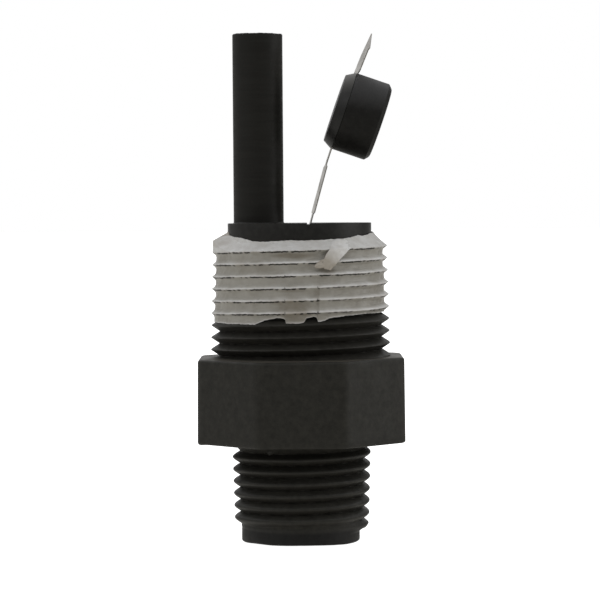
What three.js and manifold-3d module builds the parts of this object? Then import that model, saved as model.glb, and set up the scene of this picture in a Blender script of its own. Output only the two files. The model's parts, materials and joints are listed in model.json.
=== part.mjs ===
// Paddle switch fitting: a moulded plastic body with a taper pipe thread above and below an octagonal
// wrench section, a sealed reed switch in a tube, and a magnet in a puck on a leaf spring.
// Millimetres, +Z up. The origin is the centre of the lower nipple's end face. The reed tube stands on
// the -X side and the leaf spring leans towards +X.
import * as THREE from 'three';
import { mergeVertices } from 'three/addons/utils/BufferGeometryUtils.js';
import Module from 'manifold-3d';

const wasm = await Module();
wasm.setup();

// ---------- driving dimensions ----------

const threadPitch = 25.4 / 14;
const threadTaper = 1 / 32; // loss of radius per mm of length on a taper pipe thread

const pilot = { radius: 8.88, top: 2.4, edge: 0.4 };
const octagon = { bottom: 15.1, top: 27.6, acrossFlats: 30.7, cornerRadius: 2.0, bevel: 0.3 };
const lowerThread = { bottom: 2.0, top: 14.4, crest: 10.09, depth: 1.0, crestAtLeft: 3.6, growsUp: true };
const upperThread = { bottom: 26.6, top: 45.9, crest: 13.5, depth: 1.32, crestAtLeft: 28.85, growsUp: false };
const collar = { radius: 10.75, bottom: 46.2, top: 47.72 };
const runOutRadius = 10.4;

const bore = { radius: 6.5, top: 25.0 };
const passage = { radius: 2.3, bottom: 20.0 };
const tube = { x: -6.1, radius: 3.75, bore: 2.75, bottom: 36.0, top: 76.0, seatGap: 0.05, topEdge: 0.12 };
const endPlug = { length: 3.0, recess: 0.35, gap: 0.05 };

const tape = { bottom: 32.7, top: 45.6, thickness: 0.2, gap: 0.05 };

const blade = {
  rootX: 1.74, // where the leaf leaves its slot
  hingeZ: 48.0,
  thickness: 0.15,
  turn: 3.2, // degrees about the vertical, near edge away from the tube
  stemLean: 15.4, // degrees from the vertical, below the neck
  puckLean: 19.1,
  tipLean: 22.2,
  rootOffset: -0.12, // the clamped root lies against the slot's inner wall
  rootBottom: 38.0,
  rootTop: 47.6,
  rootWidth: 7.0,
};
const slot = { width: 0.45, length: 7.6, bottom: 37.0 };
const shim = { thickness: 0.15, bottom: 38.2, top: 47.2, width: 6.4, offset: 0.1 };
const crossPin = { radius: 0.6, z: 42.5, from: -3.2, to: 9.2, gap: 0.08 }; // from and to, out from the leaf

const puck = {
  along: 17.1, // from the hinge to the puck's centre, along the leaf
  radius: 5.97,
  capRim: 0.25, // the straight part of the cap's edge
  capThickness: 1.33,
  capFace: 5.3,
  cupDepth: 5.73,
  cupStraight: 5.0,
  cupFace: 5.15,
  chamferRound: { out: 0.2, in: 0.1 }, // softens the corner between a chamfer and a face
  leafGap: 0.1,
};
const magnet = { radius: 4.0, thickness: 3.0, pocketGap: 0.12, padThickness: 0.5, endGap: 0.3 };
const puckPin = { radius: 0.4, offset: 5.05, intoCap: 0.75, intoCup: 2.6, gap: 0.06, endGap: 0.1 };

const reed = {
  x: tube.x - 1.2,
  capsuleRadius: 1.2,
  capsuleWall: 0.25,
  capsuleBottom: 56.0,
  capsuleTop: 70.0,
  capsuleShoulder: 0.5, // how far the ends are drawn in
  capsuleEnd: 1.0,
  sealLength: 0.6,
  neck: 0.45,
  overlap: 1.2,
  leafWidth: 1.2,
  leafThickness: 0.22,
  leadSize: 0.4,
  leadReach: 1.0, // past the carrier's top
};
const carrier = { x: tube.x + 0.55, thickness: 0.8, width: 3.6, bottom: 50.0, top: 71.6 };
const returnWireX = tube.x + 1.75;
const wireRadius = 0.45;
const sleeve = { inner: 0.6, outer: 0.8, bottom: 50.8, top: 54.8 };
const tubeFill = { gap: 0.1, bottom: 36.3, top: 44.0, channel: { x: 0.12, sizeX: 4.15, sizeY: 2.1 } };
const terminals = {
  discRadius: 6.4,
  discBottom: 14.0,
  discTop: 16.0,
  spacing: 5.0,
  pinRadius: 0.8,
  pinBottom: 8.5,
  pinPoint: 0.3, // how far the tip is drawn in
  pinGap: 0.08,
};
const boreFill = { gap: 0.1, bottom: 16.3, top: 19.6, channel: { x: -0.8, sizeX: 9.0, sizeY: 3.4 } };

const facets = 40; // round the large diameters
const threadSteps = 24; // along one turn of a thread

// ---------- materials ----------

function material(color, roughness, metalness = 0) {
  return new THREE.MeshStandardMaterial({ color, roughness, metalness });
}

const materials = {
  blackPlastic: material('#262522', 0.5),
  tubePlastic: material('#222220', 0.42),
  tape: material('#cfcac2', 0.8),
  springSteel: material('#a9a39a', 0.3, 1),
  plainSteel: material('#8f8f8c', 0.35, 1),
  glass: material('#c8d2cc', 0.1),
  board: material('#5e7a4c', 0.6),
  compound: material('#3b3a36', 0.7),
  redWire: material('#8c2f26', 0.5),
  blackWire: material('#1d1d1f', 0.5),
  brass: material('#b29350', 0.35, 1),
  magnetPlate: material('#9a9ca0', 0.25, 1),
  foam: material('#4a4a4c', 0.95),
};

// ---------- solid helpers ----------

// A plain closed geometry with shared corners and its faces pointing out.
function closed(geometry) {
  const plain = geometry.index ? geometry.toNonIndexed() : geometry.clone();
  plain.deleteAttribute('normal');
  plain.deleteAttribute('uv');
  const merged = mergeVertices(plain, 1e-4);
  return signedVolume(merged) < 0 ? flipped(merged) : merged;
}

function signedVolume(geometry) {
  const position = geometry.attributes.position;
  const corner = [new THREE.Vector3(), new THREE.Vector3(), new THREE.Vector3()];
  let volume = 0;
  for (let i = 0; i < geometry.index.count; i += 3) {
    corner.forEach((point, k) => point.fromBufferAttribute(position, geometry.index.getX(i + k)));
    volume += corner[0].dot(corner[1].clone().cross(corner[2])) / 6;
  }
  return volume;
}

function flipped(geometry) {
  const index = Array.from(geometry.index.array);
  for (let i = 0; i < index.length; i += 3) {
    [index[i + 1], index[i + 2]] = [index[i + 2], index[i + 1]];
  }
  geometry.setIndex(index);
  return geometry;
}

function toSolid(geometry) {
  const plain = closed(geometry);
  const mesh = new wasm.Mesh({
    numProp: 3,
    vertProperties: new Float32Array(plain.attributes.position.array),
    triVerts: new Uint32Array(plain.index.array),
  });
  return new wasm.Manifold(mesh);
}

function toGeometry(solid) {
  const mesh = solid.getMesh();
  const geometry = new THREE.BufferGeometry();
  geometry.setAttribute('position', new THREE.BufferAttribute(new Float32Array(mesh.vertProperties), 3));
  geometry.setIndex(new THREE.BufferAttribute(new Uint32Array(mesh.triVerts), 1));
  return geometry;
}

// Turns a closed profile of [radius, height] points about the vertical axis.
function turned(profile, segments = facets) {
  const points = profile.map(([radius, height]) => new THREE.Vector2(radius, height));
  return new THREE.LatheGeometry(points, segments).rotateX(Math.PI / 2);
}

function rod(radius, bottom, top, segments = facets) {
  return turned([[0, bottom], [radius, bottom], [radius, top], [0, top]], segments);
}

function ring(inner, outer, bottom, top, segments = facets) {
  return turned([[inner, bottom], [outer, bottom], [outer, top], [inner, top], [inner, bottom]], segments);
}

function block(sizeX, sizeY, bottom, top) {
  return new THREE.BoxGeometry(sizeX, sizeY, top - bottom).translate(0, 0, (bottom + top) / 2);
}

// Skins a list of rings of points, each ring with the same number of corners, and caps both ends.
function lofted(rings) {
  const corners = rings[0].length;
  const index = [];
  for (let row = 0; row < rings.length - 1; row++) {
    for (let k = 0; k < corners; k++) {
      const a = row * corners + k;
      const b = row * corners + ((k + 1) % corners);
      index.push(a, b, b + corners, a, b + corners, a + corners);
    }
  }
  const last = (rings.length - 1) * corners;
  for (let k = 1; k < corners - 1; k++) {
    index.push(0, k + 1, k, last, last + k, last + k + 1);
  }
  const geometry = new THREE.BufferGeometry();
  geometry.setAttribute('position', new THREE.Float32BufferAttribute(rings.flat(2), 3));
  geometry.setIndex(index);
  return geometry;
}

function part(name, geometry, finish) {
  const plain = closed(geometry);
  plain.computeVertexNormals();
  const mesh = new THREE.Mesh(plain, finish);
  mesh.name = name;
  return mesh;
}

// ---------- threads ----------

function crestRadius(thread, z) {
  const rise = thread.growsUp ? z - thread.bottom : thread.bottom - z;
  return thread.crest + rise * threadTaper;
}

function rootRadius(thread, z) {
  return crestRadius(thread, z) - thread.depth;
}

// A right-hand threaded rod, skinned along its helix. Three strands run up it: the root and the two
// edges of the crest. The upper crest edge meets the root one turn further on.
function threadedRod(thread) {
  const strands = [
    { rise: 0, radiusAt: rootRadius },
    { rise: 0.38 * threadPitch, radiusAt: crestRadius },
    { rise: 0.62 * threadPitch, radiusAt: crestRadius },
  ];
  const start = thread.crestAtLeft - 2.5 * threadPitch;
  const last = (Math.ceil((thread.top - start) / threadPitch) + 1) * threadSteps;
  const points = [];
  for (let step = 0; step <= last; step++) {
    const angle = -Math.PI + (step / threadSteps) * 2 * Math.PI;
    strands.forEach(({ rise, radiusAt }) => {
      const z = start + (step / threadSteps) * threadPitch + rise;
      const radius = radiusAt(thread, z);
      points.push([radius * Math.cos(angle), radius * Math.sin(angle), z]);
    });
  }
  const at = (strand, step) => step * strands.length + strand;
  const index = [];
  const quad = (a, b, c, d) => index.push(a, b, c, a, c, d);
  for (let step = 0; step < last; step++) {
    quad(at(0, step), at(0, step + 1), at(1, step + 1), at(1, step));
    quad(at(1, step), at(1, step + 1), at(2, step + 1), at(2, step));
    if (step < last - threadSteps) {
      quad(at(2, step), at(2, step + 1), at(0, step + 1 + threadSteps), at(0, step + threadSteps));
    }
  }
  const turn = Array.from({ length: threadSteps + 1 }, (_, step) => step);
  const bottomLoop = [...turn.map((step) => at(0, step)), at(2, 0), at(1, 0)];
  const topLoop = [...turn.map((step) => at(2, last - threadSteps + step)), at(1, last), at(0, last)];
  const cap = (loop, facing) => {
    const middle = points.length;
    points.push([0, 0, points[loop[0]][2] + (facing * threadPitch) / 2]);
    loop.forEach((corner, k) => {
      const next = loop[(k + 1) % loop.length];
      index.push(facing < 0 ? next : corner, facing < 0 ? corner : next, middle);
    });
  };
  cap(bottomLoop, -1);
  cap(topLoop, 1);
  const geometry = new THREE.BufferGeometry();
  geometry.setAttribute('position', new THREE.Float32BufferAttribute(points.flat(), 3));
  geometry.setIndex(index);
  return geometry;
}

// The threaded rod trimmed to its length, with its first and last turns chamfered away.
function threadedLength(thread) {
  const { bottom, top, depth } = thread;
  const envelope = turned([
    [0, bottom],
    [rootRadius(thread, bottom) + 0.05, bottom],
    [crestRadius(thread, bottom) + 0.1, bottom + depth],
    [crestRadius(thread, top) + 0.1, top - depth],
    [rootRadius(thread, top) + 0.05, top],
    [0, top],
  ]);
  return toSolid(threadedRod(thread)).intersect(toSolid(envelope));
}

// ---------- body ----------

function octagonOutline() {
  const shape = new THREE.Shape();
  const apothem = octagon.acrossFlats / 2 - octagon.bevel;
  const corner = apothem / Math.cos(Math.PI / 8);
  const centre = corner - octagon.cornerRadius / Math.cos(Math.PI / 8);
  for (let k = 0; k < 8; k++) {
    const angle = Math.PI / 8 + (k * Math.PI) / 4;
    const x = centre * Math.cos(angle);
    const y = centre * Math.sin(angle);
    shape.absarc(x, y, octagon.cornerRadius, angle - Math.PI / 8, angle + Math.PI / 8, false);
  }
  return shape;
}

function octagonPrism() {
  const height = octagon.top - octagon.bottom;
  const prism = new THREE.ExtrudeGeometry(octagonOutline(), {
    depth: height - 2 * octagon.bevel,
    bevelEnabled: true,
    bevelThickness: octagon.bevel,
    bevelSize: octagon.bevel,
    bevelSegments: 1,
    curveSegments: 2,
  });
  return prism.translate(0, 0, octagon.bottom + octagon.bevel);
}

// The plain turned stretches that carry the threads: they stay inside the thread roots.
function bodyCore() {
  return turned([
    [0, 0],
    [pilot.radius - pilot.edge, 0],
    [pilot.radius, pilot.edge],
    [pilot.radius, lowerThread.bottom + 0.6],
    [pilot.radius - 0.3, lowerThread.top - 0.6],
    [runOutRadius, octagon.bottom + 0.2],
    [runOutRadius, upperThread.top - 0.6],
    [collar.radius, collar.bottom],
    [collar.radius, collar.top],
    [0, collar.top],
  ]);
}

function bladeSlot() {
  const cut = block(slot.width, slot.length, slot.bottom, collar.top + 1);
  return cut.rotateZ(THREE.MathUtils.degToRad(blade.turn)).translate(blade.rootX, 0, 0);
}

// The cross pin's hole is open at the thread's side, where the pin is pressed in.
function crossPinHole() {
  const hole = rod(crossPin.radius + crossPin.gap, crossPin.from - 0.2, upperThread.crest + 2, 12);
  const turn = THREE.MathUtils.degToRad(blade.turn);
  return hole.rotateY(Math.PI / 2).rotateZ(turn).translate(blade.rootX, 0, crossPin.z);
}

function fittingBody() {
  const cuts = [
    rod(bore.radius, -1, bore.top, 32),
    rod(passage.radius, passage.bottom, tube.bottom + 1, 16).translate(tube.x, 0, 0),
    rod(tube.radius + tube.seatGap, tube.bottom - tube.seatGap, collar.top + 1, 32).translate(tube.x, 0, 0),
    bladeSlot(),
    crossPinHole(),
  ];
  let solid = toSolid(bodyCore()).add(toSolid(octagonPrism()));
  solid = solid.add(threadedLength(lowerThread)).add(threadedLength(upperThread));
  cuts.forEach((geometry) => { solid = solid.subtract(toSolid(geometry)); });
  return part('fitting_body', toGeometry(solid), materials.blackPlastic);
}

function ptfeTape() {
  const inner = (z) => crestRadius(upperThread, z) + tape.gap;
  const outer = (z) => inner(z) + tape.thickness;
  const profile = [
    [inner(tape.bottom), tape.bottom],
    [outer(tape.bottom), tape.bottom],
    [outer(tape.top), tape.top],
    [inner(tape.top), tape.top],
    [inner(tape.bottom), tape.bottom],
  ];
  return part('ptfe_tape', turned(profile), materials.tape);
}

// ---------- reed tube and what is sealed in it ----------

function reedTube() {
  const profile = [
    [tube.bore, tube.bottom],
    [tube.radius, tube.bottom],
    [tube.radius, tube.top - tube.topEdge],
    [tube.radius - tube.topEdge, tube.top],
    [tube.bore, tube.top],
    [tube.bore, tube.bottom],
  ];
  const mesh = part('reed_tube', turned(profile, 36), materials.tubePlastic);
  mesh.position.x = tube.x;
  return mesh;
}

function tubeEndPlug() {
  const top = tube.top - endPlug.recess;
  const plug = rod(tube.bore - endPlug.gap, top - endPlug.length, top, 32);
  const mesh = part('tube_end_plug', plug, materials.tubePlastic);
  mesh.position.x = tube.x;
  return mesh;
}

function reedCapsule() {
  const { capsuleRadius: outer, capsuleBottom: bottom, capsuleTop: top, neck } = reed;
  const { capsuleEnd: end, capsuleShoulder: shoulder, sealLength: seal } = reed;
  const inner = outer - reed.capsuleWall;
  const profile = [
    [neck, bottom],
    [outer - shoulder, bottom],
    [outer, bottom + end],
    [outer, top - end],
    [outer - shoulder, top],
    [neck, top],
    [neck, top - seal],
    [inner, top - seal - end],
    [inner, bottom + seal + end],
    [neck, bottom + seal],
    [neck, bottom],
  ];
  const mesh = part('reed_capsule', turned(profile, 20), materials.glass);
  mesh.position.x = reed.x;
  return mesh;
}

// A reed is a flat leaf inside the capsule and a thin lead outside it. The leaves overlap in the middle.
function reedLeaf(name, side, extraCuts) {
  const middle = (reed.capsuleBottom + reed.capsuleTop) / 2;
  const offset = side * reed.leafThickness * 0.75;
  const sorted = (a, b) => [Math.min(a, b), Math.max(a, b)];
  const capsuleEnd = side > 0 ? reed.capsuleTop : reed.capsuleBottom;
  const leafSpan = sorted(middle - side * reed.overlap, capsuleEnd - side * 2);
  const leadEnd = side > 0 ? carrier.top + reed.leadReach : reed.capsuleBottom - 3.0;
  const leadSpan = sorted(capsuleEnd - side * 2.2, leadEnd);
  let solid = toSolid(block(reed.leafThickness, reed.leafWidth, ...leafSpan).translate(offset, 0, 0));
  solid = solid.add(toSolid(block(reed.leadSize, reed.leadSize, ...leadSpan)));
  extraCuts.forEach((geometry) => { solid = solid.add(toSolid(geometry)); });
  const mesh = part(name, toGeometry(solid), materials.plainSteel);
  mesh.position.x = reed.x;
  return mesh;
}

// The upper lead is bent over the carrier's end to reach the return wire.
function reedUpper() {
  const reach = returnWireX - reed.x + reed.leadSize / 2;
  const bentTop = carrier.top + reed.leadReach;
  const bent = block(reach, reed.leadSize, bentTop - reed.leadSize, bentTop);
  return reedLeaf('reed_upper', 1, [bent.translate(reach / 2, 0, 0)]);
}

function reedCarrier() {
  const strip = block(carrier.thickness, carrier.width, carrier.bottom, carrier.top);
  const mesh = part('reed_carrier', strip, materials.board);
  mesh.position.x = carrier.x;
  return mesh;
}

// An insulated wire swept along a smooth curve.
function wire(name, stops, steps, finish) {
  const curve = new THREE.CatmullRomCurve3(stops.map((stop) => new THREE.Vector3(...stop)));
  const section = new THREE.Shape();
  section.absarc(0, 0, wireRadius, 0, 2 * Math.PI, false);
  const swept = new THREE.ExtrudeGeometry(section, { steps, curveSegments: 4, extrudePath: curve });
  return part(name, swept, finish);
}

function signalWire() {
  const stops = [
    [reed.x, 0, reed.capsuleBottom - 3.3],
    [reed.x, 0, 45],
    [tube.x - 0.9, 0, 38],
    [tube.x - 0.3, 0.9, 30],
    [tube.x + 0.2, 0.9, 25.5],
    [tube.x + 1.8, 0.9, 22.2],
    [-terminals.spacing / 2, 0.2, 19],
    [-terminals.spacing / 2, 0, terminals.discTop + 0.3],
  ];
  return wire('signal_wire', stops, 26, materials.redWire);
}

function returnWire() {
  const stops = [
    [returnWireX, 0, carrier.top + 0.3],
    [returnWireX, 0, 60],
    [returnWireX, 0, 46],
    [tube.x + 0.9, 0, 38],
    [tube.x + 0.7, -0.9, 30],
    [tube.x + 0.8, -0.9, 25.5],
    [tube.x + 3.6, -0.9, 22.2],
    [terminals.spacing / 2 - 1.2, -0.4, 20],
    [terminals.spacing / 2, 0, 18],
    [terminals.spacing / 2, 0, terminals.discTop + 0.3],
  ];
  return wire('return_wire', stops, 30, materials.blackWire);
}

function spliceSleeve() {
  const shrunk = ring(sleeve.inner, sleeve.outer, sleeve.bottom, sleeve.top, 16);
  const mesh = part('splice_sleeve', shrunk, materials.redWire);
  mesh.position.x = reed.x;
  return mesh;
}

// Compound poured round the wires, with a channel that the wires run in.
function poured(name, radius, fill, segments) {
  const { x, sizeX, sizeY } = fill.channel;
  const channel = block(sizeX, sizeY, fill.bottom - 1, fill.top + 1).translate(x, 0, 0);
  const solid = toSolid(rod(radius - fill.gap, fill.bottom, fill.top, segments)).subtract(toSolid(channel));
  return part(name, toGeometry(solid), materials.compound);
}

function tubePotting() {
  const mesh = poured('tube_potting', tube.bore, tubeFill, 24);
  mesh.position.x = tube.x;
  return mesh;
}

function borePotting() {
  return poured('bore_potting', bore.radius, boreFill, 32);
}

// ---------- terminals in the conduit bore ----------

function terminalDisc() {
  let solid = toSolid(rod(terminals.discRadius, terminals.discBottom, terminals.discTop, 32));
  [-1, 1].forEach((side) => {
    const holeRadius = terminals.pinRadius + terminals.pinGap;
    const hole = rod(holeRadius, terminals.discBottom - 1, terminals.discTop + 1, 16);
    solid = solid.subtract(toSolid(hole.translate((side * terminals.spacing) / 2, 0, 0)));
  });
  return part('terminal_disc', toGeometry(solid), materials.blackPlastic);
}

function terminalPin(name, side) {
  const { pinRadius, pinBottom, pinPoint, discTop } = terminals;
  const profile = [
    [0, pinBottom],
    [pinRadius - pinPoint, pinBottom],
    [pinRadius, pinBottom + 2 * pinPoint],
    [pinRadius, discTop],
    [0, discTop],
  ];
  const mesh = part(name, turned(profile, 16), materials.brass);
  mesh.position.x = (side * terminals.spacing) / 2;
  return mesh;
}

// ---------- blade root, held in the body ----------

function bladeRootGroup() {
  const group = new THREE.Group();
  group.position.x = blade.rootX;
  group.rotation.z = THREE.MathUtils.degToRad(blade.turn);
  const pinHole = rod(crossPin.radius + crossPin.gap, -1, 1, 12).rotateY(Math.PI / 2);
  const pinCut = toSolid(pinHole.translate(0, 0, crossPin.z));
  const leaf = toSolid(block(blade.thickness, blade.rootWidth, blade.rootBottom, blade.rootTop));
  const root = toGeometry(leaf.subtract(pinCut)).translate(blade.rootOffset, 0, 0);
  group.add(part('blade_root', root, materials.springSteel));
  const strip = toSolid(block(shim.thickness, shim.width, shim.bottom, shim.top));
  const wedge = toGeometry(strip.subtract(pinCut)).translate(shim.offset, 0, 0);
  group.add(part('slot_shim', wedge, materials.tubePlastic));
  return group;
}

// The pin crosses the slot from side to side, through the leaf and its shim.
function bladeCrossPin() {
  const pin = rod(crossPin.radius, crossPin.from, crossPin.to, 12).rotateY(Math.PI / 2);
  const mesh = part('blade_cross_pin', pin, materials.plainSteel);
  mesh.rotation.z = THREE.MathUtils.degToRad(blade.turn);
  mesh.position.set(blade.rootX, 0, crossPin.z);
  return mesh;
}

// ---------- paddle: leaf, puck and magnet ----------

// The leaf's centre line in the plane of its bend: straight runs with a lean each.
const leafRuns = [
  { until: 9.2, lean: blade.stemLean },
  { until: 23.4, lean: blade.puckLean },
  { until: 40.0, lean: blade.tipLean },
];

function leafPoint(along) {
  let x = 0;
  let z = 0;
  let from = 0;
  let lean = 0;
  for (const run of leafRuns) {
    lean = THREE.MathUtils.degToRad(run.lean);
    const length = Math.min(along, run.until) - from;
    x += length * Math.sin(lean);
    z += length * Math.cos(lean);
    from = run.until;
    if (along <= run.until) break;
  }
  return { x, z, lean };
}

// Rows of the leaf, from its root to its tip: how far along its near and far edges are, and their offsets.
const leafRows = [
  { near: 0.1, far: 0.1, half: 1.5 },
  { near: 1.1, far: 1.1, half: 1.5 },
  { near: 1.3, far: 1.3, half: 3.5 },
  { near: 8.4, far: 8.4, half: 3.5 },
  { near: 8.7, far: 8.7, half: 1.5 },
  { near: 9.2, far: 9.2, half: 1.5 },
  { near: 12.0, far: 12.0, half: 1.5 },
  { near: 13.5, far: 13.5, half: 4.2 },
  { near: 21.5, far: 21.5, half: 4.2 },
  { near: 22.6, far: 22.6, half: 5.2 },
  { near: 23.4, far: 23.4, half: 6.0 },
  { near: 26.4, far: 26.4, half: 6.1 },
  { near: 26.9, far: 30.1, half: 6.1 },
];

function springBlade() {
  const rings = leafRows.map((row) => {
    const edge = (along, y, side) => {
      const { x, z, lean } = leafPoint(along);
      const out = (side * blade.thickness) / 2;
      return [x + out * Math.cos(lean), y, z - out * Math.sin(lean)];
    };
    return [
      edge(row.near, -row.half, -1),
      edge(row.near, -row.half, 1),
      edge(row.far, row.half, 1),
      edge(row.far, row.half, -1),
    ];
  });
  return part('spring_blade', lofted(rings), materials.springSteel);
}

// The puck is turned about the leaf's normal. Local +X is the side away from the reed tube.
function faceTurned(profile, segments) {
  return turned(profile, segments).rotateY(Math.PI / 2);
}

function puckGroup() {
  const group = new THREE.Group();
  const { x, z } = leafPoint(puck.along);
  const inner = blade.thickness / 2 + puck.leafGap;
  group.position.set(x, 0, z);
  group.rotation.y = THREE.MathUtils.degToRad(blade.puckLean);
  group.add(puckCap(inner), puckCup(inner));
  group.add(...magnetStack(inner), ...puckPins(inner));
  return group;
}

// The two pins stand beside the leaf's narrow part, one towards each edge.
function onPinPlaces(geometry) {
  return [-1, 1].map((side) => geometry.clone().translate(0, side * puckPin.offset, 0));
}

function withPinHoles(solid, from, to) {
  const radius = puckPin.radius + puckPin.gap;
  const hole = faceTurned([[0, from], [radius, from], [radius, to], [0, to]], 12);
  return onPinPlaces(hole).reduce((rest, cut) => rest.subtract(toSolid(cut)), solid);
}

function puckCap(inner) {
  const { out, in: back } = puck.chamferRound;
  const face = -puck.capThickness - back;
  const cap = toSolid(faceTurned([
    [0, -inner],
    [puck.radius, -inner],
    [puck.radius, -inner - puck.capRim],
    [puck.capFace + out, -puck.capThickness],
    [puck.capFace, face],
    [0, face],
  ]));
  return part('puck_cap', toGeometry(withPinHoles(cap, -inner - puckPin.intoCap, 0)), materials.tubePlastic);
}

function puckCup(inner) {
  const { out, in: back } = puck.chamferRound;
  const pocket = magnet.radius + magnet.pocketGap;
  const pocketDepth = inner + magnet.padThickness + magnet.thickness + magnet.endGap;
  const cup = toSolid(faceTurned([
    [0, pocketDepth],
    [pocket, pocketDepth],
    [pocket, inner],
    [puck.radius, inner],
    [puck.radius, puck.cupStraight],
    [puck.cupFace + out, puck.cupDepth - back],
    [puck.cupFace, puck.cupDepth],
    [0, puck.cupDepth],
  ]));
  return part('puck_cup', toGeometry(withPinHoles(cup, 0, inner + puckPin.intoCup)), materials.tubePlastic);
}

// From the leaf outwards: a foam pad, then the magnet.
function magnetStack(inner) {
  const disc = (from, to) => faceTurned([[0, from], [magnet.radius, from], [magnet.radius, to], [0, to]], 32);
  const padTop = inner + magnet.padThickness;
  const magnetBottom = padTop + magnet.endGap / 3;
  return [
    part('magnet_pad', disc(inner + magnet.endGap / 6, padTop), materials.foam),
    part('disc_magnet', disc(magnetBottom, magnetBottom + magnet.thickness), materials.magnetPlate),
  ];
}

function puckPins(inner) {
  const from = -inner - puckPin.intoCap + puckPin.endGap;
  const to = inner + puckPin.intoCup - puckPin.endGap;
  const pin = faceTurned([[0, from], [puckPin.radius, from], [puckPin.radius, to], [0, to]], 12);
  const names = ['puck_pin_front', 'puck_pin_rear'];
  return onPinPlaces(pin).map((geometry, k) => part(names[k], geometry, materials.plainSteel));
}

function paddleGroup() {
  const group = new THREE.Group();
  group.position.set(blade.rootX, 0, blade.hingeZ);
  group.rotation.z = THREE.MathUtils.degToRad(blade.turn);
  group.add(springBlade(), puckGroup());
  return group;
}

// ---------- assembly ----------

const assembly = new THREE.Group();
assembly.add(
  fittingBody(),
  ptfeTape(),
  reedTube(),
  tubeEndPlug(),
  reedCapsule(),
  reedUpper(),
  reedLeaf('reed_lower', -1, []),
  reedCarrier(),
  signalWire(),
  returnWire(),
  spliceSleeve(),
  tubePotting(),
  borePotting(),
  terminalDisc(),
  terminalPin('terminal_pin_a', -1),
  terminalPin('terminal_pin_b', 1),
  bladeRootGroup(),
  bladeCrossPin(),
  paddleGroup(),
);

export default assembly;
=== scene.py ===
# Paddle switch fitting: a black moulded pipe fitting with a taped upper thread, a reed tube, and a puck on a
# leaf spring. Lengths are in millimetres here, and are scaled to metres when a mesh is made.
import json
import math
import bpy
import numpy as np
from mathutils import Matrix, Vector


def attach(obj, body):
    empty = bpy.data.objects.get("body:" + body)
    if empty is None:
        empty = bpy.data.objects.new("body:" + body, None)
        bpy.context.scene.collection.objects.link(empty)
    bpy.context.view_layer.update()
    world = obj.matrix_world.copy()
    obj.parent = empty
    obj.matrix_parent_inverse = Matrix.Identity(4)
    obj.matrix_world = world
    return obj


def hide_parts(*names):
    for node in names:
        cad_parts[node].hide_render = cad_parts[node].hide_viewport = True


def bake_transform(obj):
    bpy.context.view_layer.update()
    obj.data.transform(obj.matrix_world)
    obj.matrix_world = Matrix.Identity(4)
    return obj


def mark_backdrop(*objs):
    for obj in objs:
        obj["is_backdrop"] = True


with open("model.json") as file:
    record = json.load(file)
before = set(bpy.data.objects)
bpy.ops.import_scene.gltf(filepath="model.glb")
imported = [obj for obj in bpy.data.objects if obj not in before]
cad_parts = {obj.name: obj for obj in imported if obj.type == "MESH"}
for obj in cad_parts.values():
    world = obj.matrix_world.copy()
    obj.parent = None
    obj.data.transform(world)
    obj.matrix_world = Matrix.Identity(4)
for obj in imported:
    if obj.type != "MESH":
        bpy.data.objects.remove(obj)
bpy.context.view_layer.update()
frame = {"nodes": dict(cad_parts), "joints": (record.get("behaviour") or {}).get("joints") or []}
mm = 0.001
threadPitch = 25.4 / 14
print("frame loaded")


# small helpers for shapes

def smooth(low, high, value):
    t = np.clip((value - low) / (high - low), 0, 1)
    return t * t * (3 - 2 * t)


def wobble(angle, seed, waves, rough=0.6):
    # a smooth random ripple round the axis, from -1 to 1, made of a few sine waves
    dice = np.random.default_rng(seed)
    total = np.zeros_like(angle, dtype=float)
    size = 0.0
    for octave, count in enumerate(waves):
        share = rough ** octave
        total = total + share * np.sin(count * angle + dice.uniform(0, 2 * math.pi))
        size += share
    return total / size


def polar(radius, angle, height):
    radius, angle, height = np.broadcast_arrays(radius, angle, height)
    return np.stack([radius * np.cos(angle), radius * np.sin(angle), height], axis=-1)


def fullTurn(columns):
    return np.linspace(-math.pi, math.pi, columns, endpoint=False)


def fromFront(angle):
    # the angle measured from the front towards the right
    return (angle + math.pi / 2 + math.pi) % (2 * math.pi) - math.pi


def meshPiece(name, points, faces, sharpAngle=40):
    mesh = bpy.data.meshes.new(name)
    mesh.from_pydata((np.asarray(points, float) * mm).tolist(), [], faces)
    mesh.update()
    mesh.shade_smooth()
    mesh.set_sharp_from_angle(angle=math.radians(sharpAngle))
    piece = bpy.data.objects.new(name, mesh)
    bpy.context.scene.collection.objects.link(piece)
    return piece


def ringFaces(rows, columns, closedUp=False):
    # quads between rings of points; closedUp also joins the last ring to the first
    faces = []
    for row in range(rows if closedUp else rows - 1):
        below, above = row * columns, ((row + 1) % rows) * columns
        for k in range(columns):
            nextK = (k + 1) % columns
            faces.append((below + k, below + nextK, above + nextK, above + k))
    return faces


def ringPiece(name, rings, capped=True, sharpAngle=40):
    # skins a stack of rings; capped closes each end with a fan, otherwise the last ring joins the first
    rings = np.asarray(rings, float)
    rows, columns = rings.shape[:2]
    points = rings.reshape(-1, 3)
    faces = ringFaces(rows, columns, closedUp=not capped)
    if capped:
        ends = np.array([rings[0].mean(0), rings[-1].mean(0)])
        first, last = len(points), len(points) + 1
        top = (rows - 1) * columns
        points = np.concatenate([points, ends])
        faces += [((k + 1) % columns, k, first) for k in range(columns)]
        faces += [(top + k, top + (k + 1) % columns, last) for k in range(columns)]
    return meshPiece(name, points, faces, sharpAngle)


def finishPiece(piece, material, slot, body, *nodes):
    piece.data.materials.append(material)
    if nodes:
        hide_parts(*nodes)
    if body:
        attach(piece, body)
    return piece


# materials

def newMaterial(name):
    material = bpy.data.materials.new(name)
    material.use_nodes = True
    tree = material.node_tree
    return material, tree, tree.nodes["Principled BSDF"]


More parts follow.
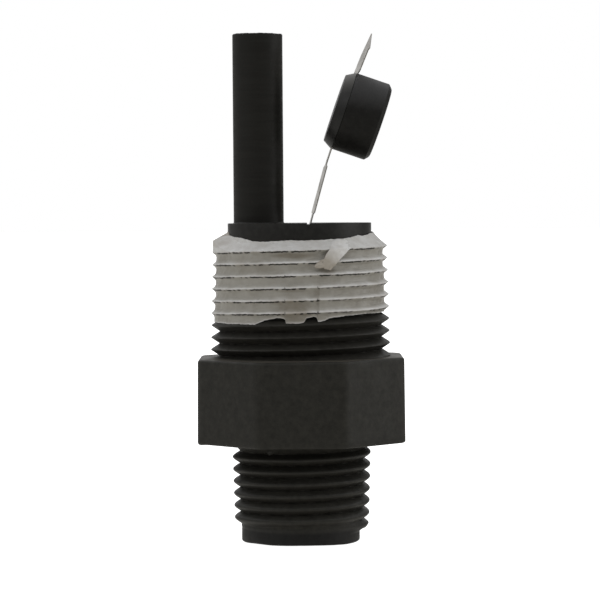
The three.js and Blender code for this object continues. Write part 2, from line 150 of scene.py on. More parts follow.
def addNoise(tree, scale, detail=4.0, roughness=0.55, stretch=(1, 1, 1)):
    # noise in the piece's own space, with scale in waves per metre
    place = tree.nodes.new("ShaderNodeTexCoord")
    mapping = tree.nodes.new("ShaderNodeMapping")
    mapping.inputs["Scale"].default_value = stretch
    tree.links.new(place.outputs["Object"], mapping.inputs["Vector"])
    texture = tree.nodes.new("ShaderNodeTexNoise")
    texture.inputs["Scale"].default_value = scale
    texture.inputs["Detail"].default_value = detail
    texture.inputs["Roughness"].default_value = roughness
    tree.links.new(mapping.outputs["Vector"], texture.inputs["Vector"])
    return texture.outputs["Fac"]


def addRamp(tree, factor, stops):
    ramp = tree.nodes.new("ShaderNodeValToRGB")
    while len(ramp.color_ramp.elements) < len(stops):
        ramp.color_ramp.elements.new(0.5)
    for element, (position, color) in zip(ramp.color_ramp.elements, stops):
        element.position = position
        element.color = (*color, 1)
    tree.links.new(factor, ramp.inputs["Fac"])
    return ramp.outputs["Color"]


def addRange(tree, factor, low, high, fromLow=0.3, fromHigh=0.7):
    spread = tree.nodes.new("ShaderNodeMapRange")
    spread.inputs["From Min"].default_value = fromLow
    spread.inputs["From Max"].default_value = fromHigh
    spread.inputs["To Min"].default_value = low
    spread.inputs["To Max"].default_value = high
    tree.links.new(factor, spread.inputs["Value"])
    return spread.outputs["Result"]


def addBump(tree, height, strength, distance, under=None):
    bump = tree.nodes.new("ShaderNodeBump")
    bump.inputs["Strength"].default_value = strength
    bump.inputs["Distance"].default_value = distance
    tree.links.new(height, bump.inputs["Height"])
    if under:
        tree.links.new(under, bump.inputs["Normal"])
    return bump.outputs["Normal"]


def addAttribute(tree, name):
    attribute = tree.nodes.new("ShaderNodeAttribute")
    attribute.attribute_name = name
    return attribute.outputs["Fac"]


def addSum(tree, first, second):
    total = tree.nodes.new("ShaderNodeMath")
    tree.links.new(first, total.inputs[0])
    tree.links.new(second, total.inputs[1])
    return total.outputs["Value"]


def multiplyColor(tree, first, second):
    mix = tree.nodes.new("ShaderNodeMix")
    mix.data_type = "RGBA"
    mix.blend_type = "MULTIPLY"
    mix.inputs["Factor"].default_value = 1.0
    tree.links.new(first, mix.inputs["A"])
    tree.links.new(second, mix.inputs["B"])
    return mix.outputs["Result"]


def blendTo(tree, color, other, amount):
    # moves a colour towards one other colour, as far as the amount says
    mix = tree.nodes.new("ShaderNodeMix")
    mix.data_type = "RGBA"
    mix.inputs["B"].default_value = (*other, 1)
    tree.links.new(amount, mix.inputs["Factor"])
    tree.links.new(color, mix.inputs["A"])
    return mix.outputs["Result"]


def addTopHighlight(tree, color, topHighlight, low, high):
    # painted highlight: the faces that look up are made paler, standing in for the light from above
    place = tree.nodes.new("ShaderNodeTexCoord")
    facing = tree.nodes.new("ShaderNodeSeparateXYZ")
    tree.links.new(place.outputs["Normal"], facing.inputs["Vector"])
    spread = addRange(tree, facing.outputs["Z"], 0, 1, low, high)
    return blendTo(tree, color, topHighlight, spread)


def addFootShade(tree, color, footShadeColor, low, high):
    # painted shade: the plain foot, below a height in metres, is made darker and a little bluer, standing in
    # for the shade next to the bench
    place = tree.nodes.new("ShaderNodeTexCoord")
    height = tree.nodes.new("ShaderNodeSeparateXYZ")
    tree.links.new(place.outputs["Object"], height.inputs["Vector"])
    above = addRange(tree, height.outputs["Z"], 0, 1, low, high)
    return multiplyColor(tree, color, addRamp(tree, above, [(0, footShadeColor), (1, (1, 1, 1))]))


def surfaceMaterial(name, look):
    # most finishes here: two close colours mottled together, uneven gloss and a fine grain
    material, tree, shader = newMaterial(name)
    stretch = look.get("stretch", (1, 1, 1))
    mottle = addNoise(tree, look["mottleScale"], roughness=look.get("mottleBreak", 0.55), stretch=stretch)
    low, high = look.get("mottleSpan", (0.4, 0.62))
    color = addRamp(tree, mottle, [(low, look["dark"]), (high, look["light"])])
    # painted highlight on the faces that look up, where the look asks for it
    if "topHighlight" in look:
        color = addTopHighlight(tree, color, look["topHighlight"], *look["topHighlightSpan"])
    # painted shade on the plain foot, where the look asks for it
    if "footShade" in look:
        color = addFootShade(tree, color, look["footShade"], *look["footShadeSpan"])
    tree.links.new(color, shader.inputs["Base Color"])
    gloss = addNoise(tree, look["mottleScale"] * 0.6, stretch=stretch)
    tree.links.new(addRange(tree, gloss, *look["roughness"]), shader.inputs["Roughness"])
    fine = addNoise(tree, look["grainScale"], detail=6.0, stretch=stretch)
    normal = addBump(tree, fine, look["grain"], look.get("grainDepth", 0.00004))
    tree.links.new(normal, shader.inputs["Normal"])
    shader.inputs["Metallic"].default_value = look.get("metallic", 0.0)
    shader.inputs["Specular IOR Level"].default_value = look.get("specular", 0.5)
    shader.inputs["Transmission Weight"].default_value = look.get("transmission", 0.0)
    return material


bodyPlastic = surfaceMaterial("bodyPlastic", {
    "dark": (0.0198, 0.019, 0.016), "light": (0.0355, 0.034, 0.0286),
    "mottleScale": 900, "mottleBreak": 0.8, "mottleSpan": (0.34, 0.68),
    # painted shade on the plain foot below about 2.8 mm
    "footShade": (0.4, 0.41, 0.48), "footShadeSpan": (0.0018, 0.0028),
    # painted highlight: the faces that look straight up, such as the octagon's top, are made paler
    "topHighlight": (0.085, 0.077, 0.064), "topHighlightSpan": (0.94, 1.0),
    "roughness": (0.4, 0.55), "grain": 0.15, "grainScale": 5200, "specular": 0.22})
tubePlastic = surfaceMaterial("tubePlastic", {
    "dark": (0.0121, 0.0116, 0.0098), "light": (0.0148, 0.0143, 0.0121), "mottleScale": 700,
    "specular": 0.22, "roughness": (0.36, 0.5), "grain": 0.3, "grainScale": 2600,
    "stretch": (0.25, 0.25, 3.0)})
# painted shade: the collar is the body's own moulding, given a darker copy of its plastic to stand in for
# the shade on it
shadedCollarPlastic = surfaceMaterial("shadedCollarPlastic", {
    "dark": (0.0115, 0.011, 0.0096), "light": (0.0175, 0.017, 0.0149), "mottleScale": 1100,
    "specular": 0.28, "roughness": (0.36, 0.48), "grain": 0.3, "grainScale": 4200})
puckPlastic = surfaceMaterial("puckPlastic", {
    "dark": (0.0085, 0.0081, 0.0071), "light": (0.0125, 0.012, 0.0107), "mottleScale": 1100,
    # painted highlight: the cup's faces that look up are made paler towards the top
    "topHighlight": (0.072, 0.072, 0.074), "topHighlightSpan": (0.15, 1.0),
    "specular": 0.21, "roughness": (0.46, 0.58), "grain": 0.3, "grainScale": 4200})
capPlastic = surfaceMaterial("capPlastic", {
    "dark": (0.007, 0.0067, 0.0058), "light": (0.0105, 0.01, 0.0087), "mottleScale": 1100,
    # painted highlight: the cap's faces that look up are made much paler, standing in for the top light on
    # its chamfer
    "topHighlight": (0.13, 0.127, 0.118), "topHighlightSpan": (0.5, 1.0),
    "specular": 0.42, "roughness": (0.38, 0.48), "grain": 0.12, "grainScale": 4200})
springSteel = surfaceMaterial("springSteel", {
    "dark": (0.34, 0.32, 0.285), "light": (0.44, 0.415, 0.375), "mottleScale": 500,
    "roughness": (0.3, 0.42), "grain": 0.12, "grainScale": 6000, "stretch": (6.0, 0.3, 0.3),
    "metallic": 1.0})
plainSteel = surfaceMaterial("plainSteel", {
    "dark": (0.42, 0.42, 0.41), "light": (0.52, 0.52, 0.51), "mottleScale": 900,
    "roughness": (0.25, 0.4), "grain": 0.2, "grainScale": 5000, "metallic": 1.0})
capsuleGlass = surfaceMaterial("capsuleGlass", {
    "dark": (0.72, 0.84, 0.78), "light": (0.8, 0.9, 0.85), "mottleScale": 300,
    "roughness": (0.02, 0.06), "grain": 0.02, "grainScale": 1500, "transmission": 0.9})
carrierBoard = surfaceMaterial("carrierBoard", {
    "dark": (0.1, 0.16, 0.075), "light": (0.16, 0.23, 0.11), "mottleScale": 2500,
    "roughness": (0.45, 0.65), "grain": 0.4, "grainScale": 4000})
redInsulation = surfaceMaterial("redInsulation", {
    "dark": (0.2, 0.018, 0.014), "light": (0.28, 0.03, 0.022), "mottleScale": 900,
    "roughness": (0.35, 0.5), "grain": 0.15, "grainScale": 3000})
blackInsulation = surfaceMaterial("blackInsulation", {
    "dark": (0.01, 0.01, 0.011), "light": (0.017, 0.017, 0.018), "mottleScale": 900,
    "roughness": (0.35, 0.5), "grain": 0.15, "grainScale": 3000})
castCompound = surfaceMaterial("castCompound", {
    "dark": (0.03, 0.029, 0.026), "light": (0.05, 0.048, 0.043), "mottleScale": 700,
    "roughness": (0.5, 0.75), "grain": 0.6, "grainScale": 1800, "grainDepth": 0.0001})
terminalBrass = surfaceMaterial("terminalBrass", {
    "dark": (0.4, 0.26, 0.085), "light": (0.5, 0.34, 0.12), "mottleScale": 1500,
    "roughness": (0.22, 0.38), "grain": 0.2, "grainScale": 6000, "metallic": 1.0})
magnetPlate = surfaceMaterial("magnetPlate", {
    "dark": (0.5, 0.5, 0.52), "light": (0.6, 0.6, 0.62), "mottleScale": 600,
    "roughness": (0.12, 0.22), "grain": 0.08, "grainScale": 3000, "metallic": 1.0})
padFoam = surfaceMaterial("padFoam", {
    "dark": (0.045, 0.045, 0.047), "light": (0.09, 0.09, 0.094), "mottleScale": 5000,
    "roughness": (0.8, 0.95), "grain": 0.8, "grainScale": 6000, "grainDepth": 0.0001})


def tapeMaterial(name, look):
    # thin pale film: painted shade makes it grey where it sinks into a groove, painted highlight makes it
    # pale on the crests, and it is dark where it is cut through
    material, tree, shader = newMaterial(name)
    film = addRamp(tree, addAttribute(tree, "paintedShading"), look["film"])
    blotches = addRange(tree, addNoise(tree, look["blotchScale"], 5.0), 0.3, 0.0, 0.35, 0.62)
    # the stain attribute carries real stains together with painted shadow and painted shade, and darkens the
    # film towards the stain colour
    stainedAndShaded = addSum(tree, blotches, addAttribute(tree, "stainAndShade"))
    film = multiplyColor(tree, film, addRamp(tree, stainedAndShaded, [(0.0, (1.0, 1.0, 1.0)), (1.0, look["stainAndShade"])]))
    flecks = addNoise(tree, look["fleckScale"], 5.0, 0.6)
    film = multiplyColor(tree, film, addRamp(tree, flecks, look["flecks"]))
    color = blendTo(tree, film, look["under"], addAttribute(tree, "tear"))
    tree.links.new(color, shader.inputs["Base Color"])
    gloss = addNoise(tree, look["crinkleScale"])
    tree.links.new(addRange(tree, gloss, *look["roughness"]), shader.inputs["Roughness"])
    crinkles = addNoise(tree, look["crinkleScale"], 5.0, stretch=(1, 1, 1.6))
    grain = addNoise(tree, look["grainScale"], 3.0)
    normal = addBump(tree, grain, 0.25, 0.00003, under=addBump(tree, crinkles, 0.8, 0.0002))
    tree.links.new(normal, shader.inputs["Normal"])
    shader.inputs["Specular IOR Level"].default_value = look["specular"]
    return material


sealTape = tapeMaterial("sealTape", {
    # colour from the crests down to the grooves: painted highlight on the crests, painted shade in the
    # grooves
    "film": [(0.0, (0.88, 0.88, 0.875)), (0.16, (0.78, 0.78, 0.775)), (0.5, (0.57, 0.56, 0.527)),
             (1.0, (0.45, 0.435, 0.397))],
    "stainAndShade": (0.56, 0.51, 0.445), "under": (0.092, 0.08, 0.086),
    "flecks": [(0.3, (0.93, 0.925, 0.915)), (0.7, (1.03, 1.03, 1.03))],
    "blotchScale": 420, "fleckScale": 1100, "crinkleScale": 900, "grainScale": 7000,
    "roughness": (0.27, 0.5), "specular": 0.45})
print("materials made")


# moulded body: one skin from the bore's end, round the lower rim and up to the shoulder under the collar

bodyShape = {
    "columns": 360,
    "bore": 6.5, "boreTop": 24.9, "boreChamfer": 0.3,
    "pilot": 8.87, "pilotEdge": 0.28,  # plain foot below the lower thread, and its rounded rim
    "octagonBottom": 15.1, "octagonTop": 27.6, "apothem": 15.35, "cornerRadius": 2.0,
    "draft": 0.05, "topRise": 0.1, "topTilt": 0.09, "bottomEdge": 0.35, "topEdge": 0.42,
    # how far the end is trimmed short: degrees from the front towards the right, height
    "endLift": [(-180, 0), (-90, 0), (-68, 0.06), (-54, 0.18), (-43, 0.2), (-30, 0.17), (-16, 0.2),
                (0, 0.24), (14, 0.22), (22, 0.185), (31, 0.13), (40, 0.08), (51, 0), (180, 0)],
    "nub": (-157.5, 3.0, 0.12),  # a blob of flash under one corner: place and width in degrees, height
    "pilotEnd": (1.9, 2.6),  # the pilot widens into the thread's root between these heights
    "runOutFrom": 13.5, "runOutRadius": 10.7, "runOutPower": 1.3,
    # a lump on the run-out and one at the lower thread's start: place and width in degrees, height, half
    # height, reach
    "lumps": [(-119, 2.4, 13.5, 0.5, 0.3), (-4, 9, 2.2, 0.45, 0.95)],
    "endSlope": 1.8, "neck": 10.6, "shoulderTop": 46.4,
    # how far each height sits off the axis, towards the right
    "offAxis": [(1.9, -0.12), (2.6, 0.07), (15.0, 0.08), (15.2, 0.09), (27.6, 0.09), (28.0, 0.045),
                (46.4, 0.045)],
}
# crest and root are radii at the heights "from" and "to"; turns are counted up the helix from crestAtLeft
lowerThread = {
    "start": 1.3, "from": 2.1, "to": 15.0, "step": 0.075, "crestAtLeft": 3.6,
    "crest": (10.09, 10.44), "root": (9.08, 9.28), "tipRound": 0.46,
    "startTurn": -0.62, "endTurn": 5.95, "lag": 0.13,
}
upperThread = {
    "from": 27.8, "to": 46.4, "step": 0.08, "crestAtLeft": 28.85,
    "crest": (13.5, 12.95), "root": (12.18, 11.75), "tipRound": 0.08,
    "startTurn": -1.5, "endTurn": 9.12, "lag": 0.0,
}
threadFade = {"in": 0.14, "out": 0.2}  # turns over which a ridge rises at its start and falls at its end
threadTop = {"turns": 9, "dropOver": 0.75}  # full turns of the upper thread, and the angle of its drop back


def threadPhase(thread, angle, z):
    # turns above the first crest at the left; the lag lowers the ridges on the right
    lowered = z + thread["lag"] * (1 + np.cos(angle))
    return (lowered - thread["crestAtLeft"]) / threadPitch - (angle + math.pi) / (2 * math.pi)


def threadTurn(thread, angle, z):
    # which crest is nearest, counted in turns up the helix, and how far away it is in turns
    phase = threadPhase(thread, angle, z)
    nearest = np.round(phase)
    return nearest + (angle + math.pi) / (2 * math.pi), phase - nearest


def threadSpan(thread, pair, z):
    low, high = thread["from"], thread["to"]
    return thread[pair][0] + (thread[pair][1] - thread[pair][0]) * (z - low) / (high - low)


def threadRadius(thread, angle, z):
    turn, off = threadTurn(thread, angle, z)
    tip = thread["tipRound"]
    away = np.abs(off) * threadPitch
    furthest = math.hypot(threadPitch / 2, tip) - tip
    fall = (np.hypot(away, tip) - tip) / furthest
    present = smooth(thread["startTurn"], thread["startTurn"] + threadFade["in"], turn)
    present = present * (1 - smooth(thread["endTurn"] - threadFade["out"], thread["endTurn"], turn))
    root, crest = threadSpan(thread, "root", z), threadSpan(thread, "crest", z)
    return root + (crest - root) * (1 - fall) * present


def threadEnd(angle):
    # height where the upper thread stops being full: it climbs once round, and drops back just past the left
    around = angle + math.pi
    turns = threadTop["turns"] + around / (2 * math.pi) - smooth(0, threadTop["dropOver"], around)
    return upperThread["crestAtLeft"] + threadPitch * turns


def octagonRadius(angle, inset):
    # distance from the axis to a flat or to a rounded corner
    apothem = bodyShape["apothem"] - inset
    corner = max(bodyShape["cornerRadius"] - inset, 0.2)
    eighth = math.pi / 8
    off = np.abs((angle + eighth) % (2 * eighth) - eighth)
    flatEnd = math.atan((apothem - corner) * math.tan(eighth) / apothem)
    centre = (apothem - corner) / math.cos(eighth)
    fromCorner = eighth - off
    rounded = centre * np.cos(fromCorner) + np.sqrt(corner ** 2 - (centre * np.sin(fromCorner)) ** 2)
    return np.where(off < flatEnd, apothem / np.cos(off), rounded)


def roundedEdge(reach, steps=4):
    # insets and drops along a quarter circle, from the flat face to the side
    return [(reach * (1 - math.sin(t)), reach * (1 - math.cos(t)))
            for t in np.linspace(0, math.pi / 2, steps + 1)]


def lowerRing(angle, z):
    # pilot, thread and the cone that the thread runs out on under the octagon
    shape = bodyShape
    root, crest = threadSpan(lowerThread, "root", z), threadSpan(lowerThread, "crest", z)
    ridge = threadRadius(lowerThread, angle, z)
    bare = shape["pilot"] + (root - shape["pilot"]) * smooth(*shape["pilotEnd"], z)
    ridge = bare + (ridge - root) * (crest - bare) / (crest - root)
    rise = max((z - shape["runOutFrom"]) / (shape["octagonBottom"] - shape["runOutFrom"]), 0)
    lumps = sum(reach * np.exp(-((np.degrees(angle) - place) / width) ** 2 - ((z - height) / tall) ** 4)
                for place, width, height, tall, reach in shape["lumps"])
    cone = bare + (shape["runOutRadius"] - bare) * rise ** shape["runOutPower"]
    return np.maximum(ridge, cone + lumps)


def upperRing(angle, z):
    crest = threadSpan(upperThread, "crest", z)
    fading = crest - bodyShape["endSlope"] * np.maximum(z - threadEnd(angle), 0)
    return np.maximum(np.minimum(threadRadius(upperThread, angle, z), fading), bodyShape["neck"])


def bodyRings():
    shape = bodyShape
    angle = fullTurn(shape["columns"])
    rings = []

    def addRing(radius, z):
        ring = polar(np.broadcast_to(radius, angle.shape), angle, z)
        ring[:, 0] += np.interp(z, *zip(*shape["offAxis"]))
        rings.append(ring)

    def addOctagon(inset, z, up):
        # up runs from 0 at the bottom to 1 at the top, where the face tilts a little
        tilt = (shape["topRise"] + shape["topTilt"] * np.cos(angle)) * smooth(0.5, 1, up)
        place, width, height = shape["nub"]
        drip = height * np.exp(-((np.degrees(angle) - place) / width) ** 2) * (1 - smooth(0, 0.06, up))
        addRing(octagonRadius(angle, inset + shape["draft"] * (2 * up - 1)), z + tilt - drip)

    addRing(shape["bore"], shape["boreTop"])
    addRing(shape["bore"], shape["boreChamfer"])
    front = fromFront(angle)
    uneven = np.interp(np.degrees(front), *zip(*shape["endLift"]))
    addRing(shape["bore"] + shape["boreChamfer"], 0)
    for inset, rise in roundedEdge(shape["pilotEdge"]):
        addRing(shape["pilot"] - inset, rise + uneven)
    for z in np.arange(lowerThread["start"], shape["octagonBottom"], lowerThread["step"]):
        addRing(lowerRing(angle, z), z)
    for inset, rise in roundedEdge(shape["bottomEdge"]):
        addOctagon(inset, shape["octagonBottom"] + rise, 0)
    for up in np.linspace(0.08, 0.92, 12):
        addOctagon(0, shape["octagonBottom"] + up * (shape["octagonTop"] - shape["octagonBottom"]), up)
    for inset, rise in reversed(roundedEdge(shape["topEdge"])):
        addOctagon(inset, shape["octagonTop"] - rise, 1)
    for z in np.arange(upperThread["from"], upperThread["to"], upperThread["step"]):
        addRing(upperRing(angle, z), z)
    addRing(shape["neck"], shape["shoulderTop"])
    return np.array(rings)


def makeBody():
    body = ringPiece("fittingBody", bodyRings(), sharpAngle=50)
    return finishPiece(body, bodyPlastic, "body_plastic", "housing", "fitting_body")


makeBody()
print("body made")


# collar with the slot that the leaf leaves by

collarShape = {
    "radius": 10.75, "bottom": 44.8, "top": 47.72, "edge": 0.1, "columns": 192,
    # the slot that holds the leaf and the shallow saw cut across the collar: x, width, length, depth, turn
    "cuts": [(1.74, 0.45, 7.6, 1.2, 3.2), (1.33, 0.44, 24.0, 0.22, 0)],
}


def makeCollar():
    shape = collarShape
    angle = fullTurn(shape["columns"])
    profile = [(shape["radius"], shape["bottom"])]
    profile += [(shape["radius"] - inset, shape["top"] - rise)
                for inset, rise in reversed(roundedEdge(shape["edge"], 2))]
    rings = [polar(np.full(angle.shape, radius), angle, z) for radius, z in profile]
    collar = ringPiece("collar", rings)
    for x, width, length, depth, turn in shape["cuts"]:
        bpy.ops.mesh.primitive_cube_add(size=1)
        cutter = bpy.context.object
        cutter.scale = (width * mm, length * mm, 2 * depth * mm)
        cutter.rotation_euler.z = math.radians(turn)
        cutter.location = (x * mm, 0, shape["top"] * mm)
        cut = collar.modifiers.new("slot", "BOOLEAN")
        cut.object = cutter
        cut.solver = "EXACT"
        bpy.context.view_layer.objects.active = collar
        bpy.ops.object.modifier_apply(modifier=cut.name)
        bpy.data.objects.remove(cutter)
    return finishPiece(collar, shadedCollarPlastic, "body_plastic", "housing", "fitting_body")


makeCollar()
print("collar made")


# reed tube: sawn top, and a thin bead of cement round its foot

tubeShape = {
    "x": -6.1, "radius": 3.75, "bore": 2.75, "foot": 46.5, "top": 76.0, "columns": 144,
    "topEdge": 0.12, "sawMarks": 0.07,
    "boreEdge": (0.05, 0.2),  # width and depth of the broken edge round the bore
    "sideTop": 0.5,  # the plain side ends this far below the top
    # the bead of cement: size, and how far it reaches into the tube's wall and into the collar
    "beadWidth": 0.12, "beadHeight": 0.22, "beadInside": 0.1, "beadBelow": 0.05,
}


def makeTube():
    shape = tubeShape
    angle = fullTurn(shape["columns"])
    saw = shape["sawMarks"] * (wobble(angle, 3, (2, 5, 11, 23, 41), 0.8) - 1)
    edge = shape["topEdge"] * (1 + 0.5 * wobble(angle, 4, (7, 17, 31)))
    rings = [polar(shape["radius"] + 0 * angle, angle, z)
             for z in np.linspace(shape["foot"], shape["top"] - shape["sideTop"], 16)]
    wider, lower = shape["boreEdge"]
    rings.append(polar(shape["radius"] + 0 * angle, angle, shape["top"] + saw - edge))
    rings.append(polar(shape["radius"] - edge, angle, shape["top"] + saw))
    rings.append(polar(shape["bore"] + wider + 0 * angle, angle, shape["top"] + saw))
    rings.append(polar(shape["bore"] + 0 * angle, angle, shape["top"] - lower))
    rings.append(polar(shape["bore"] + 0 * angle, angle, shape["foot"]))
    rings = np.array(rings) + [shape["x"], 0, 0]
    tube = ringPiece("reedTube", rings, capped=False)
    return finishPiece(tube, tubePlastic, "tube_plastic", "housing", "reed_tube")


def makeBead():
    shape = tubeShape
    angle = fullTurn(shape["columns"])
    swell = 1 + 0.45 * wobble(angle, 8, (3, 5, 8, 13))
    width, height = shape["beadWidth"] * swell, shape["beadHeight"] * swell
    foot = collarShape["top"]
    inside = shape["radius"] - shape["beadInside"] + 0 * angle
    rings = [
        polar(inside, angle, foot - shape["beadBelow"]),
        polar(shape["radius"] + width, angle, foot - shape["beadBelow"]),
        polar(shape["radius"] + 0.45 * width, angle, foot + 0.22 * height),
        polar(shape["radius"] + 0.12 * width, angle, foot + 0.6 * height),
        polar(inside, angle, foot + height),
    ]
    bead = ringPiece("tubeBead", np.array(rings) + [shape["x"], 0, 0], capped=False)
    return finishPiece(bead, tubePlastic, "tube_plastic", "housing")


makeTube()
makeBead()
print("tube made")


# leaf spring and puck, placed from the hinge at the slot's mouth

hinge = Vector(frame["joints"][0]["pos_m"]) / mm
paddleTurn = math.radians(3.2)
leafShape = {
    "thickness": 0.15,
    # where each straight run ends along the leaf, its lean in degrees
    "runs": [(9.2, 15.4), (23.4, 19.1), (26.9, 22.2), (40.0, 26.0)],
    # place along the leaf, half width
    "rows": [(-0.5, 1.2), (1.1, 1.2), (1.3, 3.5), (8.4, 3.5), (8.7, 1.2), (12.0, 1.2), (13.5, 4.0),
             (20.0, 4.0), (22.0, 2.9), (22.7, 2.2), (23.2, 5.6), (23.5, 6.0), (26.4, 6.1)],
    "tip": (26.9, 30.1, 6.1),  # the slanted end: how far its near and far edges reach, half width
    "burr": 0.1,
    "rowStep": 0.4,
}


def leafPoint(along):
    x = z = start = 0.0
    for until, lean in leafShape["runs"]:
        length = min(along, until) - start
        x += length * math.sin(math.radians(lean))
        z += length * math.cos(math.radians(lean))
        start = until
        if along <= until:
            break
    return x, z, math.radians(lean)


def placePaddle(points):
    # turns the paddle about the vertical and moves it to the hinge
    points = np.asarray(points, float)
    c, s = math.cos(paddleTurn), math.sin(paddleTurn)
    x = c * points[..., 0] - s * points[..., 1] + hinge.x
    y = s * points[..., 0] + c * points[..., 1] + hinge.y
    return np.stack([x, y, points[..., 2] + hinge.z], axis=-1)


def makeLeaf():
    shape = leafShape
    stations = []
    for (low, lowHalf), (high, highHalf) in zip(shape["rows"], shape["rows"][1:]):
        count = max(1, round((high - low) / shape["rowStep"]))
        for k in range(count):
            share = k / count
            place = low + (high - low) * share
            stations.append((place, place, lowHalf + (highHalf - lowHalf) * share))
    last, lastHalf = shape["rows"][-1]
    stations.append((last, last, lastHalf))
    stations.append(shape["tip"])
    rings = []
    for near, far, half in stations:
        ring = []
        burr = shape["burr"] if far > near else 0
        for along, y, side in ((near, -half, -1), (near, -half, 1), (far, half, 1), (far, half, -1)):
            x, z, lean = leafPoint(along)
            out = side * shape["thickness"] / 2 + (burr if y < 0 else 0)
            ring.append((x + out * math.cos(lean), y, z - out * math.sin(lean)))
        rings.append(ring)
    leaf = ringPiece("springLeaf", placePaddle(rings), sharpAngle=30)
    finishPiece(leaf, springSteel, "spring_steel", None, "spring_blade", "blade_root")
    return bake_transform(leaf)


puckShape = {
    "along": 17.2, "lean": 19.1, "turn": -1.7, "columns": 160,  # turned back a little on the leaf
    # distance out from the leaf, radius
    "cap": [(-0.01, 5.88), (-0.03, 5.93), (-0.08, 5.95), (-0.2, 5.9), (-1.4, 5.2), (-1.45, 5.16),
            (-1.47, 5.11)],
    "cup": [(0.01, 5.86), (0.05, 5.93), (0.12, 5.96), (5.06, 5.96), (5.2, 5.92), (5.65, 5.42),
            (5.74, 5.28), (5.78, 5.1)],
}


def discPiece(name, profile):
    # a disc turned about the leaf's normal
    angle = fullTurn(puckShape["columns"])
    x0, z0, _ = leafPoint(puckShape["along"])
    lean, turn = math.radians(puckShape["lean"]), math.radians(puckShape["turn"])
    rings = []
    for out, radius in profile:
        across, up = radius * np.cos(angle), radius * np.sin(angle)
        x = out * math.cos(lean) + up * math.sin(lean)
        z = z0 - out * math.sin(lean) + up * math.cos(lean)
        turnedX = x * math.cos(turn) - across * math.sin(turn)
        turnedY = x * math.sin(turn) + across * math.cos(turn)
        rings.append(np.stack([x0 + turnedX, turnedY, z], axis=-1))
    return ringPiece(name, placePaddle(rings), sharpAngle=32)


def makePuck():
    cap = discPiece("puckCap", puckShape["cap"])
    finishPiece(cap, capPlastic, "tube_plastic", "paddle", "puck_cap")
    cup = discPiece("puckCup", puckShape["cup"][::-1])
    finishPiece(cup, puckPlastic, "tube_plastic", "paddle", "puck_cup")


makeLeaf()
makePuck()
print("paddle made")


# seal tape: a film pulled over the crests, sunk part way into each groove, with torn edges

tapeShape = {
    "columns": 720, "rows": 250, "thickness": 0.1, "over": 0.07, "offAxis": 0.045,
    # depth in the grooves, how much more on the right, how uneven, and the flank it sinks along, in turns
    "sag": 0.68, "sagRight": 0.1, "patchy": (0.15, 0.12), "flank": 0.4, "flankPower": 1.8, "sway": 0.03,
    "clear": 0.05, "ragged": 0.048, "folds": 0.13,
    "bridged": (8.2, 8.5),  # past this many turns the film spans flat to the collar
    "collar": 10.85, "reach": 1.22, "reachRight": 1.1,  # the film's slope from the last crest to the collar
    # the top layer's end: degrees from the front, degrees per mm up, wander, heights where it fades out
    "seam": 11.5, "seamSlant": 0.35, "seamWander": 0.4, "seamFade": (37.8, 40.0),
    "step": 0.06, "layerEnd": (35, 75),  # thickness of the top layer, and where it thins out on the right
    "seamShadow": 0.7, "besideSeam": 8.0,  # half width of the painted shadow line along the seam, width of the darker film left of it
    # dark cuts just under the crests, in turns: how far under, half width and its change, jagged edge
    "cutUnder": 0.095, "cutHalf": (0.052, 0.014), "cutJagged": 0.034,
    "cutGaps": (-0.45, 0.1), "cutDepth": 0.12, "cutEnd": (8.5, 8.7),
    # painted highlight: pale film above each crest, in turns, more of it on the right, and how uneven; then
    # painted shade on the film past the last crest, and how much more of it on the right
    "highlightBand": (0.36, 0.12, 0.1), "rimShade": (0.2, 0.1),
    # torn edges: degrees from the front towards the right, height
    "lowerEdge": [(-180, 33.6), (-120, 33.2), (-90, 33.0), (-70, 33.03), (-57, 32.98), (-40, 33.03),
                  (-30.5, 33.0), (-24.5, 33.62), (-15.5, 33.98), (-11, 33.9), (-9.8, 33.7), (-9.4, 33.22),
                  (-4, 33.2), (0.3, 33.2), (2.4, 33.35), (3.1, 33.6), (3.8, 33.95), (8.5, 34.17),
                  (10.9, 34.05), (11.2, 33.4), (16, 33.55), (18.9, 33.85), (21.6, 34.0), (24.3, 34.02),
                  (31.5, 34.18), (42.4, 34.32), (53.7, 34.4), (63.4, 34.35), (90, 34.4), (140, 34.1),
                  (180, 33.6)],
    "upperEdge": [(-180, 45.7), (-120, 45.6), (-100, 45.8), (-92, 46.4), (-80, 46.5), (-74, 46.0),
                  (-68, 45.8), (-58, 45.66), (-46, 45.36), (-39, 45.08), (-25, 45.07), (-10, 45.2),
                  (0, 45.2), (18, 45.28), (34, 45.37), (42, 45.55), (52, 45.92), (56, 45.75), (66, 45.97),
                  (80, 46.2), (95, 46.4), (140, 46.2), (180, 45.7)],
    "edgeRagged": (0.05, 0.07),  # how ragged the lower and the upper edge are
    # brownish patches where the film is doubled: centre in degrees and height, half sizes, strength; the
    # patch at -2 degrees and 43 mm is a painted shadow left of the loose tail, and the two at -76 and -83
    # degrees are painted shade on the rim's far left
    "stainsAndShade": [(-4, 35.2, 15, 2.6, 0.6), (-35, 41.0, 22, 1.6, 0.25), (19, 41.2, 6, 1.0, 0.45),
               (70, 38.0, 20, 2.5, 0.22), (-2, 43.0, 15, 0.4, 0.7), (-7, 37.9, 12, 0.3, 0.5),
               (-76, 45.0, 14, 0.9, 0.4), (-83, 46.3, 18, 0.62, 1.0)],
    "crease": (-25.5, 1.0, 0.1, 0.4),  # a fold in the rim: degrees from the front, width, height, slant
}


def edgeHeight(name, front):
    table = np.array(tapeShape[name])
    return np.interp(np.degrees(front), table[:, 0], table[:, 1])


def seamPlace(z):
    # degrees from the front where the top layer of film ends
    wander = tapeShape["seamWander"] * wobble(z * 0.3, 36, (3, 7, 13))
    return tapeShape["seam"] + tapeShape["seamSlant"] * (z - 34) + wander


